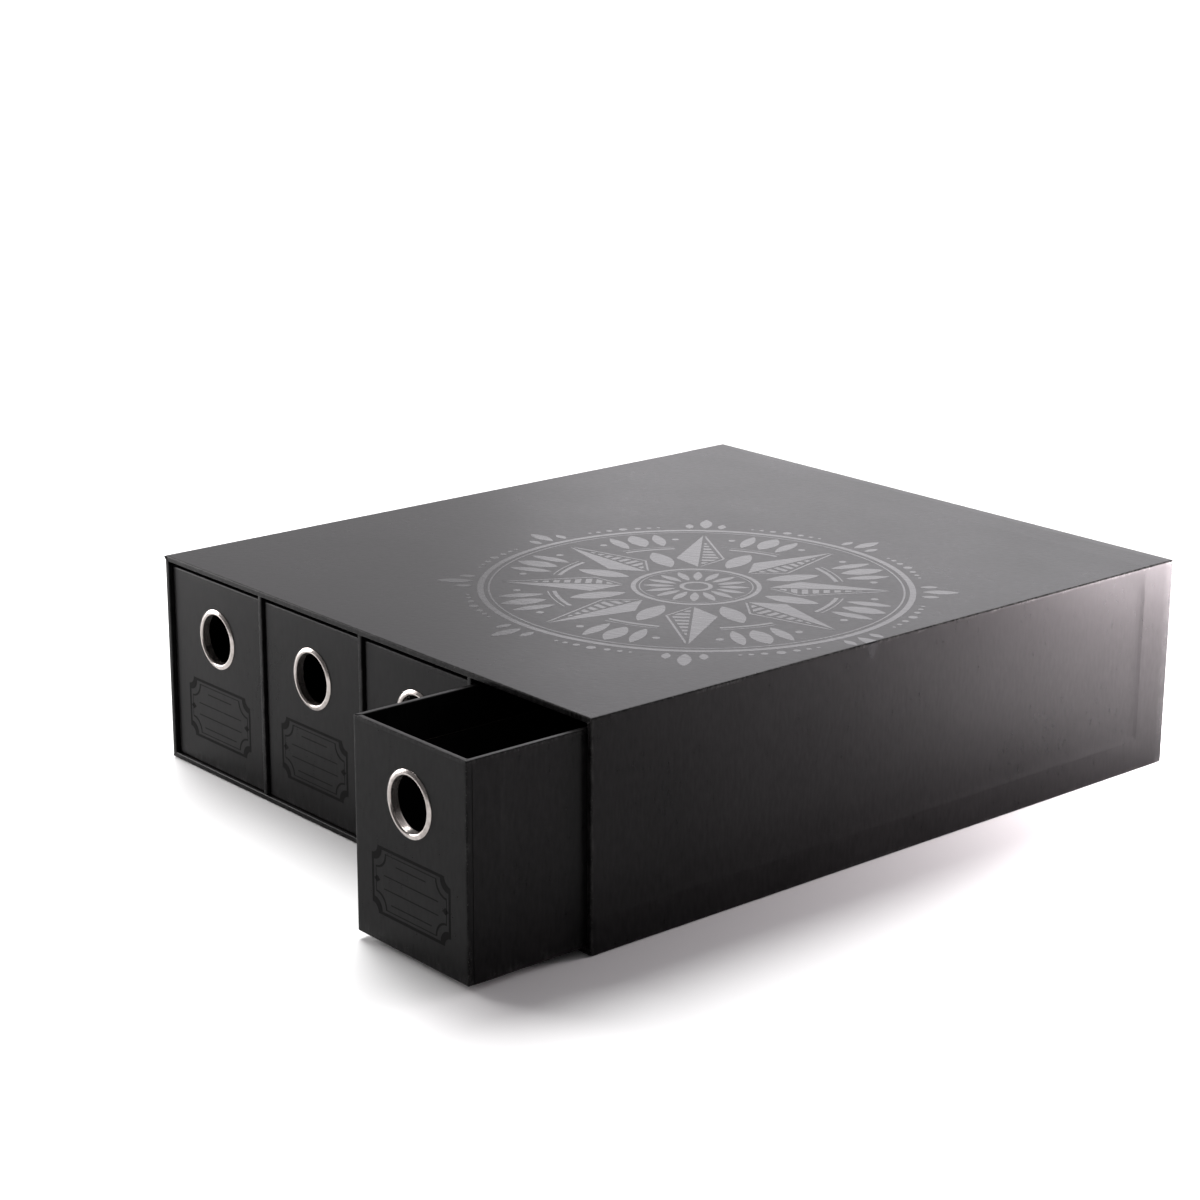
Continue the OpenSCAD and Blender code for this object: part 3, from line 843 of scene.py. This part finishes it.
def makeDrawerPleats(drawer):
    mesh = bmesh.new()
    wearAndSheenLayer = mesh.verts.layers.float.new("wearAndSheen")
    for ends, (side, _) in zip(pleatEnds(drawer, drawer["midX"], drawer["midY"]), cornerSigns):
        outer, inner = ((x, y, drawer["top"]) for x, y in ends)
        addPleat(mesh, wearAndSheenLayer, outer, inner, (0, 0, 1), 0.5 * side)
    finishPleats(drawer["name"] + "_pleats", mesh, drawer["name"])


# finger ring: one strip of metal rolled from the flange over the crown, down the barrel, and clenched
ring = {
    "metal": 0.4 * mm,
    "bore": 13.25 * mm,
    "crown": 1.1 * mm,
    "clench": 0.9 * mm,
    "rim": 0.24 * mm,
    "bevel": 0.07 * mm,
    "slope": 1.3,
    "flangeCount": 16,
    "rollCount": 12,
    "step": 0.14 * mm,
    "stepStart": 0.35 * mm,
    "stepEnd": 0.5 * mm,
    "barrelStart": 0.6 * mm,
    "barrelCount": 5,
    "turns": 160,
}


def roll(radius, depth, size, start, end):
    count = ring["rollCount"]
    angles = [start + (end - start) * k / count for k in range(count + 1)]
    return [(radius + size * math.cos(t), depth + size * math.sin(t)) for t in angles]


def stripPath(ringBox):
    r, crown, half = ring["bore"], ring["crown"], ring["metal"] / 2
    barrelEnd = ringBox[1].y - ring["clench"] - (ringBox[0].y + crown)
    top, edge = r + crown, (ringBox[1].x - ringBox[0].x) / 2 - half
    path = [(edge, 0), (edge, ring["bevel"] - ring["rim"])]
    for k in range(ring["flangeCount"]):
        s = 1 - k / ring["flangeCount"]
        path.append((top + (edge - ring["bevel"] - top) * s,
                     -ring["rim"] - (crown - half - ring["rim"]) * (1 - s ** ring["slope"])))
    path += roll(top, 0, crown - half, -math.pi / 2, -math.pi)
    wide, start, count = r + half + ring["step"], ring["barrelStart"], ring["barrelCount"]
    path += [(r + half, ring["stepStart"]), (wide, ring["stepEnd"]), (wide, start)]
    path += [(r + half + ring["step"] * (1 - k / (count - 1)), start + (barrelEnd - start) * k / count)
             for k in range(1, count)]
    return path + roll(r + ring["clench"], barrelEnd, ring["clench"] - half, math.pi, 0)


def makeRing(drawer):
    path = stripPath(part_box(drawer["name"] + "_finger_ring"))
    half = ring["metal"] / 2
    one, other = [], []
    for k, point in enumerate(path):
        before, after = path[max(k - 1, 0)], path[min(k + 1, len(path) - 1)]
        along = Vector((after[0] - before[0], after[1] - before[1])).normalized()
        one.append((point[0] - along.y * half, point[1] + along.x * half))
        other.append((point[0] + along.y * half, point[1] - along.x * half))
    mesh = bmesh.new()
    centre = drawer["ring"]
    loops = []
    for k in range(ring["turns"]):
        t = 2 * math.pi * k / ring["turns"]
        loops.append([mesh.verts.new(centre + Vector((r * math.cos(t), y, r * math.sin(t))))
                      for r, y in one + other[::-1]])
    for here, there in zip(loops, loops[1:] + loops[:1]):
        joinLoops(mesh, here, there, rounded=True)
    bmesh.ops.recalc_face_normals(mesh, faces=mesh.faces[:])
    data = meshData(drawer["name"] + "_ring", mesh)
    data.set_sharp_from_angle(angle=sharpAngle)
    piece = newObject(drawer["name"] + "_ring", data, metal)
    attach(piece, drawer["name"])
    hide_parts(drawer["name"] + "_finger_ring")


drawers = [drawerFrame(number) for number in range(1, drawerCount + 1)]
for drawer in drawers:
    makeFrontSheet(drawer)
    makeSideSheet(drawer)
    makeDrawerPleats(drawer)
    makeRing(drawer)
makeCasePleats()
print("drawers made")


# prints: flat shapes laid on the paper

# one closed shape of these points, or a band between two loops of as many points
def addShape(mesh, points):
    mesh.faces.new([mesh.verts.new((u, v, 0)) for u, v in points])


def addBand(mesh, outer, inner):
    joinLoops(mesh, *([mesh.verts.new((u, v, 0)) for u, v in loop] for loop in (outer, inner)))


def arc(radius, start, end, count):
    angles = [start + (end - start) * k / count for k in range(count + 1)]
    return [(radius * math.cos(t), radius * math.sin(t)) for t in angles]


def dot(place, radius, count):
    return [(place + u, v) for u, v in arc(radius, 0, 2 * math.pi, count)[:-1]]


# a pointed leaf along +u, and a band across it
def leaf(start, end, width, count=14):
    side = [(start + (end - start) * k / count, width * math.sin(math.pi * k / count) ** 0.8)
            for k in range(count + 1)]
    return side + [(u, -v) for u, v in side[-2:0:-1]]


def bow(inner, outer, half, count=16):
    return arc(outer, -half, half, count) + arc(inner, -half, half, count)[::-1]


def turned(points, angle):
    c, s = math.cos(angle), math.sin(angle)
    return [(u * c - v * s, u * s + v * c) for u, v in points]


# a medallion: a rosette, eight kites that are half solid and half barred, and a border of leaves;
# every figure is a shape, its sizes in mm, and its turns from the middle line it stands on
medallion = {
    "centre": (50 * mm, -26 * mm),
    "rings": ((112, 108.8), (106.6, 105.6), (33.5, 31), (29.4, 28.8), (8.6, 6.2)),
    "ringCount": 240,
    "kite": {"root": 36, "knee": 53, "tip": 103, "halfWidth": 13, "split": 0.7, "line": 1.0, "bar": 3.2,
             "gap": 2.3, "rootTrim": (1.2, 2.8), "tipTrim": (3, 8), "kneeTrim": (0.2, 1.3),
             "bars": (7, 12), "barTrim": 2.4, "barLeast": 0.6},
    "betweenKites": ((leaf, (38, 68, 5.6), (0,)),
                     (bow, (72, 74.2, 0.19), (0,)),
                     (bow, (76, 76.8, 0.19), (0,)),
                     (leaf, (80, 104, 5.2), (0,)),
                     (leaf, (79, 103, 3.4), (-0.125, 0.125)),
                     (dot, (92, 2.0, 24), (-0.225, 0.225)),
                     (dot, (118, 2.4, 28), (0,)),
                     (dot, (117.5, 1.8, 20), (-0.07, 0.07)),
                     (dot, (117.5, 1.4, 20), (-0.125, 0.125)),
                     (dot, (117.5, 1.0, 20), (-0.17, 0.17))),
    "beyondKites": ((leaf, (115, 134, 3.4), (0,)),
                    (leaf, (114.5, 124, 2.2), (-0.075, 0.075))),
    "rosette": ((leaf, (11, 27.5, 2.3), (0, math.pi / 8)),),
    "lift": 0.03 * mm,
}


# how far from its middle line the edge of a kite lies
def kiteEdge(kite, u):
    if u < kite["knee"]:
        return kite["halfWidth"] * (u - kite["root"]) / (kite["knee"] - kite["root"])
    return kite["halfWidth"] * (kite["tip"] - u) / (kite["tip"] - kite["knee"])


# the solid half, the outline of the other half in two strips, and the bars inside it
def kiteShapes(kite):
    root, knee, tip, width, split, line = (kite[key] for key in ("root", "knee", "tip", "halfWidth",
                                                                 "split", "line"))
    rootTrim, tipTrim, kneeTrim = kite["rootTrim"], kite["tipTrim"], kite["kneeTrim"]
    inner = (knee + kneeTrim[0], line * kneeTrim[1] - width)
    yield [(root + rootTrim[0], split), (tip - tipTrim[0], split), (knee, width)]
    yield [(root + rootTrim[0], -split), (knee, -width), inner, (root + rootTrim[1], -split)]
    yield [(knee, -width), (tip - tipTrim[0], -split), (tip - tipTrim[1], -split), inner]
    u = root + kite["bars"][0]
    while u + kite["bar"] < tip - kite["bars"][1]:
        ends = [(x, split - kiteEdge(kite, x) + kite["barTrim"] * line) for x in (u, u + kite["bar"])]
        deepest = max(v for x, v in ends)
        if deepest < -split - kite["barLeast"] and not u < knee < u + kite["bar"]:
            yield [(u, -split), (u + kite["bar"], -split), ends[1], ends[0]]
        u += kite["bar"] + kite["gap"]


def medallionShapes(mesh):
    def add(points, angle):
        addShape(mesh, [(u * mm, v * mm) for u, v in turned(points, angle)])

    def addAll(figures, angle):
        for shape, sizes, turns in figures:
            for turn in turns:
                add(shape(*sizes), angle + turn)

    for radii in medallion["rings"]:
        addBand(mesh, *(dot(0, radius * mm, medallion["ringCount"]) for radius in radii))
    for k in range(8):
        angle = math.pi / 4 * k
        for points in kiteShapes(medallion["kite"]):
            add(points, angle)
        addAll(medallion["betweenKites"], angle + math.pi / 8)
        addAll(medallion["beyondKites"], angle)
        addAll(medallion["rosette"], angle)


# a point of the flat pattern, carried over the top and round the right fold
def onCover(u, v, lift):
    bend = caseWall["fold"] + skin
    edge = caseWall["a"] - caseWall["fold"]
    level = topHi.z - caseWall["fold"]
    if u <= edge:
        return (u, v, topHi.z + skin + lift)
    turn = (u - edge) / bend
    if turn < math.pi / 2:
        return (edge + (bend + lift) * math.sin(turn), v, level + (bend + lift) * math.cos(turn))
    return (caseWall["a"] + skin + lift, v, level - (u - edge - bend * math.pi / 2))


printFilm = 0.04 * mm


def layPrint(name, mesh, body, material, where, cuts=()):
    for u in cuts:
        bmesh.ops.bisect_plane(mesh, geom=mesh.verts[:] + mesh.edges[:] + mesh.faces[:],
                               plane_co=(u, 0, 0), plane_no=(1, 0, 0))
    bmesh.ops.triangulate(mesh, faces=[f for f in mesh.faces if len(f.verts) > 4])
    for face in mesh.faces:
        face.normal_update()
        if face.normal.z < 0:
            face.normal_flip()
    for vert in mesh.verts:
        vert.co = where(vert.co.x, vert.co.y)
    flat = newObject(name, meshData(name, mesh), material)
    film = flat.modifiers.new("film", "SOLIDIFY")
    film.thickness = printFilm
    film.offset = -1
    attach(flat, body)


def makeMedallion():
    mesh = bmesh.new()
    medallionShapes(mesh)
    for vert in mesh.verts:
        vert.co += Vector((*medallion["centre"], 0))
    edge = caseWall["a"] - caseWall["fold"]
    quarter = (caseWall["fold"] + skin) * math.pi / 2
    cuts = [edge + quarter * k / 5 for k in range(6)]
    layPrint("topMedallion", mesh, "case", gloss, lambda u, v: onCover(u, v, medallion["lift"]), cuts)


labelFrame = {
    "size": (58, 33),
    "notch": 4.5,
    "line": 1.5,
    "gap": 1.3,
    "innerLine": 0.45,
    "writing": ((9.5, 22), (3, 40), (-3.5, 40), (-10, 30)),
    "writingWidth": 0.55,
    "diamond": (25.2, 2.4, 1.7),
    "middle": 34 * mm,
    "lift": 0.03 * mm,
}


# a rectangle whose corners are scooped out
def notched(width, height, notch, count=8):
    points = []
    for index, (su, sv) in enumerate(cornerSigns):
        for k in range(count + 1):
            t = math.radians(90 * (index + 3) - 90 * k / count)
            points.append((su * width / 2 + notch * math.cos(t), sv * height / 2 + notch * math.sin(t)))
    return points


def makeLabel(drawer):
    look = labelFrame
    mesh = bmesh.new()

    def scaled(points):
        return [(u * mm, v * mm) for u, v in points]

    def edge(inset):
        width, height = (size - 2 * inset for size in look["size"])
        return scaled(notched(width, height, look["notch"] + inset))

    inset = 0.0
    for line in (look["line"], look["innerLine"]):
        addBand(mesh, edge(inset), edge(inset + line))
        inset += line + look["gap"]
    half = look["writingWidth"] / 2
    for v, length in look["writing"]:
        addShape(mesh, scaled([(su * length / 2, v + sv * half) for su, sv in cornerSigns]))
    place, halfU, halfV = look["diamond"]
    for side in (-1, 1):
        addShape(mesh, scaled([(side * (place + halfU), 0), (side * place, halfV),
                               (side * (place - halfU), 0), (side * place, -halfV)]))
    front = drawer["front"] - look["lift"]
    layPrint(drawer["name"] + "_label", mesh, drawer["name"], ink,
             lambda u, v: (drawer["midX"] + u, front, look["middle"] + v))


makeMedallion()
for drawer in drawers:
    makeLabel(drawer)
print("prints laid")


# the carried-over pieces get their materials

for name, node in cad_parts.items():
    if name.endswith("_board"):
        finish = board
    elif "stay_tape" in name:
        finish = tape
    elif name.endswith("lining"):
        finish = lining
    elif name.endswith("ring") or name.endswith("washer"):
        finish = metal
    else:
        finish = paper
    node.data.materials.clear()
    node.data.materials.append(finish)


# studio: a pale floor, a soft key from behind on the left, and four softboxes

studio = {
    "floorSize": 40.0,
    "floorGap": 0.02 * mm,
    "floorColour": (0.86, 0.86, 0.86),
    "roomBright": 1.5,
    "roomColour": (1.0, 0.975, 1.0),
    "roomDim": 0.13,
    "roomTo": (-0.35, 0.92, 0.25),
    "roomTurn": (0.35, 0.97),
    "keyStrength": 3.6,
    "keyAngle": 30,
    "keyFrom": (-0.45, 0.22, 0.86),
    "softboxes": {
        "backBox": {"place": (-1.08, 1.9, 0.86), "aim": (0.0, 0.0, 0.1), "size": (1.9, 0.8),
                    "power": 7.6, "colour": (0.98, 0.955, 1.0)},
        "leftBox": {"place": (-0.92, -0.56, 0.31), "aim": (-0.15, -0.2, 0.06), "size": (0.5, 0.5),
                    "power": 13.0, "colour": (1.0, 0.98, 0.98)},
        "glowBox": {"place": (0.37, 0.50, 0.045), "aim": (0.175, 0.2, 0.06), "size": (0.22, 0.08),
                    "power": 5.2, "colour": (1.0, 0.89, 0.93)},
        "floorBox": {"place": (0.29, 0.33, 0.12), "aim": (0.29, 0.33, 0.0), "size": (0.12, 0.24),
                     "power": 3.2, "colour": (1.0, 0.92, 0.95)},
    },
}


def aimed(thing, place, direction):
    thing.location = place
    thing.rotation_mode = "QUATERNION"
    thing.rotation_quaternion = Vector(direction).to_track_quat("-Z", "Y")


def makeFloor():
    mesh = bmesh.new()
    bmesh.ops.create_grid(mesh, x_segments=8, y_segments=8, size=studio["floorSize"] / 2)
    material, _, bsdf = newMaterial("paleFloor")
    bsdf.inputs["Base Color"].default_value = (*studio["floorColour"], 1)
    bsdf.inputs["Roughness"].default_value = 0.9
    bsdf.inputs["Specular IOR Level"].default_value = 0.1
    floor = newObject("floor", meshData("floor", mesh), material)
    floor.location.z = -studio["floorGap"]


def makeLamp(name, kind, place, direction):
    lamp = bpy.data.objects.new(name, bpy.data.lights.new(name, kind))
    aimed(lamp, place, direction)
    scene.collection.objects.link(lamp)
    return lamp


def makeStudio():
    makeFloor()
    key = makeLamp("key", "SUN", (-2, 1, 2), -Vector(studio["keyFrom"]))
    key.data.energy = studio["keyStrength"]
    key.data.angle = math.radians(studio["keyAngle"])
    for name, box in studio["softboxes"].items():
        lamp = makeLamp(name, "AREA", box["place"], Vector(box["aim"]) - Vector(box["place"]))
        lamp.data.shape = "RECTANGLE"
        lamp.data.size, lamp.data.size_y = box["size"]
        lamp.data.energy = box["power"]
        lamp.data.color = box["colour"]
        lamp.visible_camera = False

    # the room is bright behind the box and dimmer behind the camera
    world = bpy.data.worlds.new("room")
    world.use_nodes = True
    scene.world = world
    tree = world.node_tree
    way = addNode(tree, "TexCoord").outputs["Generated"]
    towards = Vector(studio["roomTo"]).normalized()
    facing = addNode(tree, "VectorMath", {0: way, 1: towards}, operation="DOT_PRODUCT")
    level = addNode(tree, "MapRange", {"Value": facing.outputs["Value"], "From Min": studio["roomTurn"][0],
                                       "From Max": studio["roomTurn"][1], "To Min": studio["roomDim"],
                                       "To Max": studio["roomBright"]}, interpolation_type="SMOOTHSTEP")
    tree.links.new(level.outputs[0], tree.nodes["Background"].inputs["Strength"])
    tree.nodes["Background"].inputs["Color"].default_value = (*studio["roomColour"], 1)


# the photograph's camera: where it stands, what it looks at, and how far it leans

view = {
    "eye": (1.0452, -0.94338, 0.50474),
    "aim": (-0.12645, 0.06037, 0.05),
    "lens": 82.526,
    "lean": 0.213,
}


def makeCamera():
    camera = bpy.data.objects.new("camera", bpy.data.cameras.new("camera"))
    camera.data.lens = view["lens"]
    camera.data.sensor_width = 36
    camera.data.clip_start = 0.05
    camera.data.clip_end = 100
    eye, aim = Vector(view["eye"]), Vector(view["aim"])
    forward = (aim - eye).normalized()
    level = forward.cross(Vector((0, 0, 1))).normalized()
    right = Matrix.Rotation(math.radians(-view["lean"]), 3, forward) @ level
    up = right.cross(forward)
    turn = Matrix((right, up, -forward)).transposed()
    camera.matrix_world = Matrix.Translation(eye) @ turn.to_4x4()
    scene.collection.objects.link(camera)
    scene.camera = camera


makeStudio()
makeCamera()
scene.view_settings.view_transform = "Standard"
print("studio set")

bpy.context.view_layer.update()
